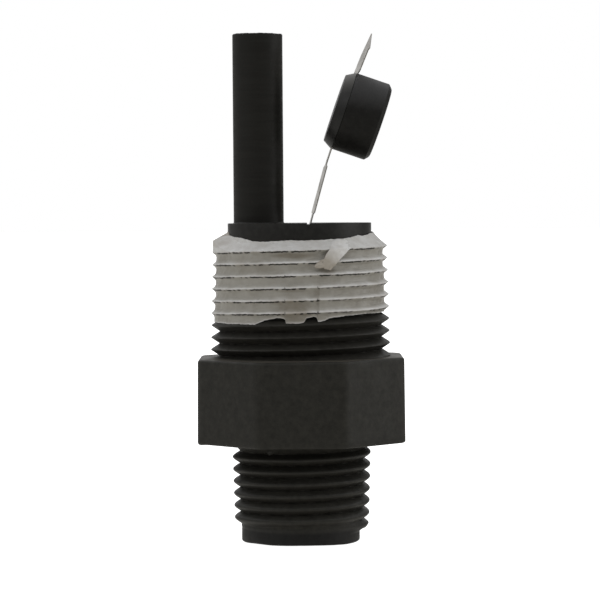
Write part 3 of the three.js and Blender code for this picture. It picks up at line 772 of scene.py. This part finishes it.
def tapeRim(angle, z, top):
    # past the last crest the film slopes to the collar, and spans further out on the right
    shape = tapeShape
    above = np.maximum(z - threadEnd(angle), 0)
    reach = shape["reach"] + shape["reachRight"] * np.maximum(np.cos(angle), 0) ** 2
    slope = shape["collar"] + (top - shape["collar"]) * (1 - np.clip(above / reach, 0, 1)) ** 1.3
    return np.maximum(np.maximum(slope, top - bodyShape["endSlope"] * above), shape["collar"])


def tapeSurface(angle, front, z):
    # radius of the film, its painted highlight and shade, and where a crest has cut through it
    shape = tapeShape
    around = (angle + math.pi) / (2 * math.pi)
    phase = threadPhase(upperThread, angle, z)
    turn = np.round(phase) + around
    phase = phase + shape["sway"] * wobble(angle + 1.7 * turn, 24, (5, 13, 31, 67), 0.8)
    off = phase - np.round(phase)
    bridged = smooth(*shape["bridged"], np.floor(phase) + 0.5 + around)
    flank = 1 - np.clip(np.abs(off) / shape["flank"], 0, 1)
    drop = (1 - flank ** shape["flankPower"]) * (1 - bridged)
    broad, small = shape["patchy"]
    patchy = 1 + broad * wobble(angle + 0.1 * z, 21, (3, 7, 13))
    patchy = patchy + small * wobble(angle - 0.07 * z, 22, (19, 37, 61))
    sag = (shape["sag"] + shape["sagRight"] * np.cos(angle)) * patchy
    top = threadSpan(upperThread, "crest", z) + shape["over"]
    ragged = shape["ragged"] * wobble(angle + 2.3 * turn, 25, (11, 29, 61, 113, 180), 0.85) * (1 - bridged)
    folds = shape["folds"] * bridged * wobble(angle + 0.05 * z, 26, (13, 23, 41, 71), 0.8)
    place, width, height, slant = shape["crease"]
    folds += height * bridged * np.exp(-((np.degrees(front) - place - slant * (z - 44)) / width) ** 2)
    radius = np.minimum(top - sag * drop, tapeRim(angle, z, top)) + ragged * (1 - drop) + folds
    radius = np.maximum(np.maximum(radius, upperRing(angle, z) + shape["clear"]), shape["collar"])
    degrees = np.degrees(front)
    seam = seamPlace(z)
    layer = smooth(seam - 0.4, seam, degrees) * (1 - smooth(*shape["layerEnd"], degrees))
    layer = layer * (1 - smooth(*shape["seamFade"], z))
    jagged = shape["cutJagged"] * wobble(angle + 0.3 * turn, 33, (53, 97, 149, 211), 0.9)
    half, change = shape["cutHalf"]
    thick = half + change * wobble(angle + turn, 34, (9, 27, 63), 0.8)
    line = np.exp(-((off + shape["cutUnder"] + jagged) / thick) ** 2)
    gaps = wobble(angle + turn * 2.4, 31, (5, 11, 23, 47, 71), 0.85) - 0.3 * layer
    tear = line * smooth(*shape["cutGaps"], gaps) * (1 - smooth(*shape["cutEnd"], turn))
    # painted highlight makes the film pale just above each crest, and painted shade makes it grey in the
    # groove under it
    width, right, uneven = shape["highlightBand"]
    highlightBand = width + right * np.cos(angle) + uneven * wobble(angle + 0.9 * turn, 35, (3, 9, 23), 0.7)
    paintedShading = np.where(off > 0, smooth(-0.08, 1, off / highlightBand), smooth(0, 0.1, -off))
    # painted shade on the film that spans past the last crest to the collar, darker on the right
    rimShadeLevel, right = shape["rimShade"]
    paintedShading = paintedShading * (1 - bridged) + (rimShadeLevel + right * np.cos(angle)) * bridged
    return radius + shape["step"] * layer - shape["cutDepth"] * tear, paintedShading, tear


def tapeStainAndShade(front, z):
    # real stains on the film, with the painted shadow line at the seam and the painted shadow and shade
    # patches listed in the table
    degrees = np.degrees(front)
    past = degrees - seamPlace(z)
    below = 1 - smooth(*tapeShape["seamFade"], z)
    # painted shadow: a thin dark line along the seam, where the top layer's step would cast one; left of it
    # the film is browner
    total = np.maximum(0.1 * np.exp(-(past / tapeShape["seamShadow"]) ** 2),
                       0.38 * smooth(-tapeShape["besideSeam"], 0, past) * (past < 0)) * below
    for place, height, wide, tall, strength in tapeShape["stainsAndShade"]:
        away = np.hypot((degrees - place) / wide, (z - height) / tall)
        blotch = away + 0.3 * wobble(front + 0.2 * z, 27, (9, 21))
        blotch = blotch + 0.12 * wobble(1.3 * z - front, 28, (2, 5))
        total = np.maximum(total, strength * (1 - smooth(0.4, 1.3, blotch)))
    return total


def paintTape(piece, paintedShadings, tears, stainsAndShade):
    for name, values in (("paintedShading", paintedShadings), ("tear", tears), ("stainAndShade", stainsAndShade)):
        layer = piece.data.attributes.new(name, "FLOAT", "POINT")
        layer.data.foreach_set("value", np.asarray(values, dtype=np.float32).ravel())


def makeTape():
    shape = tapeShape
    angle = fullTurn(shape["columns"])
    front = fromFront(angle)
    lowRagged, highRagged = shape["edgeRagged"]
    low = edgeHeight("lowerEdge", front) + lowRagged * wobble(angle, 41, (23, 47, 91, 131), 0.9)
    high = edgeHeight("upperEdge", front) + highRagged * wobble(angle, 42, (9, 23, 47, 91), 0.8)
    rings, paintedShadings, tears, stainsAndShade = [], [], [], []

    def addRow(share, inset):
        z = low + (high - low) * share
        radius, paintedShading, tear = tapeSurface(angle, front, z)
        rings.append(polar(radius - inset, angle, z))
        # painted highlight: the film eases to its palest colour along the rolled lower edge
        paintedShadings.append(paintedShading * smooth(-0.1, 0.35, z - low))
        tears.append(tear)
        stainsAndShade.append(tapeStainAndShade(front, z))

    for share in np.linspace(0, 1, shape["rows"]):
        addRow(share, 0)
    for share in np.linspace(1, 0, shape["rows"] // 4):
        addRow(share, shape["thickness"])
    tape = ringPiece("sealTape", np.array(rings) + [shape["offAxis"], 0, 0], capped=False, sharpAngle=60)
    paintTape(tape, paintedShadings, tears, stainsAndShade)
    return finishPiece(tape, sealTape, "seal_tape", "housing", "ptfe_tape")


# loose ends of the film: ribbons that lie on the wrapped film, crinkled and curled up a little

looseEnds = {
    # place and height along the ribbon (degrees from the front, mm), half widths, lift off the wrapped film
    "tapeTail": {
        "path": [(37.5, 44.9), (30.5, 44.5), (26.2, 43.9), (22.9, 43.2), (20.4, 42.5), (18.5, 41.8),
                 (17.6, 41.0)],
        "half": [0.5, 0.95, 1.12, 1.1, 1.05, 0.95, 0.5], "lift": [0.0, 0.1, 0.26, 0.4, 0.42, 0.34, 0.2],
        "stainAndShade": [0, 0, 0.1, 0.25, 0.6, 0.95, 1.0]},
    "tapeFlap": {
        "path": [(18.0, 42.0), (14.8, 41.85), (12.0, 41.6), (9.6, 41.35)],
        "half": [0.6, 0.6, 0.46, 0.18], "lift": [0.12, 0.12, 0.08, 0.04], "stainAndShade": [0.8, 1.0, 1.0, 1.0]},
}
ribbonShape = {
    "stations": 40, "across": 13, "ripple": 0.22, "gap": 0.03, "thickness": 0.05,
    "curl": 0.75,  # how much of the lift the ribbon's sides lack
    "wrapHeight": 43,  # the film's radius at this height turns degrees into lengths
}


def makeLooseEnd(name, shape, seed):
    ribbon, across = ribbonShape, ribbonShape["across"]
    share = np.linspace(0, 1, ribbon["stations"])
    stops = np.linspace(0, 1, len(shape["path"]))
    path = np.array(shape["path"])
    degrees, heights = np.interp(share, stops, path[:, 0]), np.interp(share, stops, path[:, 1])
    half = np.interp(share, stops, shape["half"])
    lift = np.interp(share, stops, shape["lift"])
    crest = threadSpan(upperThread, "crest", ribbon["wrapHeight"]) + tapeShape["over"]
    along = np.stack([np.gradient(np.radians(degrees) * crest), np.gradient(heights)], axis=-1)
    along /= np.linalg.norm(along, axis=1)[:, None]
    side = np.linspace(-1, 1, across)
    ripple = ribbon["ripple"] * wobble(side[None, :] * 1.1 + 1.6 * share[:, None], seed, (3, 5, 9))
    arc = (np.radians(degrees) * crest)[:, None] - along[:, 1][:, None] * side * half[:, None]
    z = heights[:, None] + along[:, 0][:, None] * side * half[:, None]
    angle = arc / crest - math.pi / 2
    top = threadSpan(upperThread, "crest", z) + tapeShape["over"]
    rest = np.minimum(top, tapeRim(angle, z, top))
    lifted = lift[:, None] * (1 - ribbon["curl"] * side ** 2)
    radius = rest + ribbon["gap"] + lifted + ripple * (1 - side ** 2)
    outer, inner = polar(radius, angle, z), polar(radius - ribbon["thickness"], angle, z)
    piece = ringPiece(name, np.concatenate([outer, inner[:, ::-1]], axis=1), sharpAngle=70)
    stainAndShade = np.repeat(np.interp(share, stops, shape["stainAndShade"]), 2 * across)
    ends = np.array([shape["stainAndShade"][0], shape["stainAndShade"][-1]])
    flat = np.zeros(len(stainAndShade) + 2)
    paintTape(piece, flat, flat, np.concatenate([stainAndShade, ends]))
    return finishPiece(piece, sealTape, "seal_tape", "housing")


makeTape()
for seed, (name, shape) in enumerate(looseEnds.items()):
    makeLooseEnd(name, shape, seed + 61)
print("tape made")


# the pieces held inside keep their CAD shapes and get their own finish

insideFinish = {
    "tube_end_plug": tubePlastic, "reed_capsule": capsuleGlass, "reed_upper": plainSteel,
    "reed_lower": plainSteel, "reed_carrier": carrierBoard, "signal_wire": redInsulation,
    "return_wire": blackInsulation,
    "splice_sleeve": redInsulation, "tube_potting": castCompound, "bore_potting": castCompound,
    "terminal_disc": bodyPlastic, "terminal_pin_a": terminalBrass, "terminal_pin_b": terminalBrass,
    "slot_shim": tubePlastic, "blade_cross_pin": plainSteel, "magnet_pad": padFoam,
    "disc_magnet": magnetPlate, "puck_pin_front": plainSteel, "puck_pin_rear": plainSteel,
}
for nodeName, finish in insideFinish.items():
    node = frame["nodes"][nodeName]
    node.data.materials.clear()
    node.data.materials.append(finish)
print("inside pieces finished")


# camera, floor and light

cameraPlace = {"distance": 375.0, "height": 49.4, "aim": 36.15, "lens": 150.0, "roll": -0.42}
lightPlace = {
    "seen": 1.0,  # the backdrop as the camera sees it
    # light that falls on the object: place from straight below to straight above, brightness
    "height": [(0.0, 0.45), (0.3, 0.53), (0.44, 0.27), (0.52, 0.16), (0.66, 0.08), (0.82, 0.97),
               (1.0, 0.36)],
    "warm": (1.0, 0.975, 0.9), "warmBelow": 0.6,  # the light thrown up by the bench is a little warmer
    # extra brightness from one side: axis, where it starts, where it is full, brightness
    "sides": [("X", -0.1, -0.9, 0.24), ("X", 0.1, 0.9, 0.1), ("Y", -0.1, -0.9, 0.05),
              ("Y", 0.88, 1.0, 1.0)],
    "panel": {"place": (420, -20, 120), "aim": (0, 0, 38), "size": 300, "watts": 0.27},
}


def makeCamera():
    place = cameraPlace
    lens = bpy.data.cameras.new("camera")
    lens.lens = place["lens"]
    lens.sensor_width = 36
    lens.clip_start = 0.01
    lens.clip_end = 20
    camera = bpy.data.objects.new("camera", lens)
    bpy.context.scene.collection.objects.link(camera)
    camera.location = Vector((0, -place["distance"], place["height"])) * mm
    look = Vector((0, place["distance"], place["aim"] - place["height"]))
    camera.rotation_euler = look.to_track_quat("-Z", "Y").to_euler()
    camera.rotation_euler.rotate_axis("Z", math.radians(place["roll"]))
    bpy.context.scene.camera = camera
    return camera


def makeFloor():
    size = 6000.0
    points = [(-size, -size, 0), (size, -size, 0), (size, size, 0), (-size, size, 0)]
    floor = meshPiece("floor", np.array(points) - [0, 0, 0.02], [(0, 1, 2, 3)])
    material, _, shader = newMaterial("paleFloor")
    shader.inputs["Base Color"].default_value = (0.8, 0.8, 0.8, 1)
    shader.inputs["Roughness"].default_value = 0.9
    shader.inputs["Emission Color"].default_value = (1, 1, 1, 1)
    shader.inputs["Emission Strength"].default_value = 1.0
    floor.data.materials.append(material)
    floor.visible_diffuse = False
    floor.visible_glossy = False
    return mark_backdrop(floor)


def makeLight():
    world = bpy.data.worlds.new("studio")
    world.use_nodes = True
    tree = world.node_tree
    tree.nodes.clear()
    output = tree.nodes.new("ShaderNodeOutputWorld")
    seen = tree.nodes.new("ShaderNodeBackground")
    seen.inputs["Strength"].default_value = lightPlace["seen"]
    fill = tree.nodes.new("ShaderNodeBackground")
    sides = tree.nodes.new("ShaderNodeBackground")
    direction = tree.nodes.new("ShaderNodeTexCoord")
    axes = tree.nodes.new("ShaderNodeSeparateXYZ")
    tree.links.new(direction.outputs["Generated"], axes.inputs["Vector"])
    stops = []
    for place, bright in lightPlace["height"]:
        tint = lightPlace["warm"] if place < lightPlace["warmBelow"] else (1, 1, 1)
        stops.append((place, tuple(bright * part for part in tint)))
    height = addRange(tree, axes.outputs["Z"], 0, 1, -1, 1)
    tree.links.new(addRamp(tree, height, stops), fill.inputs["Color"])
    total = None
    for axis, start, full, bright in lightPlace["sides"]:
        extra = addRange(tree, axes.outputs[axis], 0, bright, start, full)
        total = addSum(tree, total, extra) if total else extra
    tree.links.new(total, sides.inputs["Strength"])
    both = tree.nodes.new("ShaderNodeAddShader")
    tree.links.new(fill.outputs["Background"], both.inputs[0])
    tree.links.new(sides.outputs["Background"], both.inputs[1])
    path = tree.nodes.new("ShaderNodeLightPath")
    either = tree.nodes.new("ShaderNodeMixShader")
    tree.links.new(path.outputs["Is Camera Ray"], either.inputs["Fac"])
    tree.links.new(both.outputs["Shader"], either.inputs[1])
    tree.links.new(seen.outputs["Background"], either.inputs[2])
    tree.links.new(either.outputs["Shader"], output.inputs["Surface"])
    for background in (seen, sides):
        background.inputs["Color"].default_value = (1, 1, 1, 1)
    bpy.context.scene.world = world


def makePanel():
    shape = lightPlace["panel"]
    lamp = bpy.data.lights.new("rightPanel", "AREA")
    lamp.size = shape["size"] * mm
    lamp.energy = shape["watts"]
    panel = bpy.data.objects.new("rightPanel", lamp)
    panel.location = Vector(shape["place"]) * mm
    look = Vector(shape["aim"]) - Vector(shape["place"])
    panel.rotation_euler = look.to_track_quat("-Z", "Y").to_euler()
    bpy.context.scene.collection.objects.link(panel)


makeCamera()
makeFloor()
makeLight()
makePanel()
bpy.context.scene.view_settings.view_transform = "Standard"
print("camera and light made")
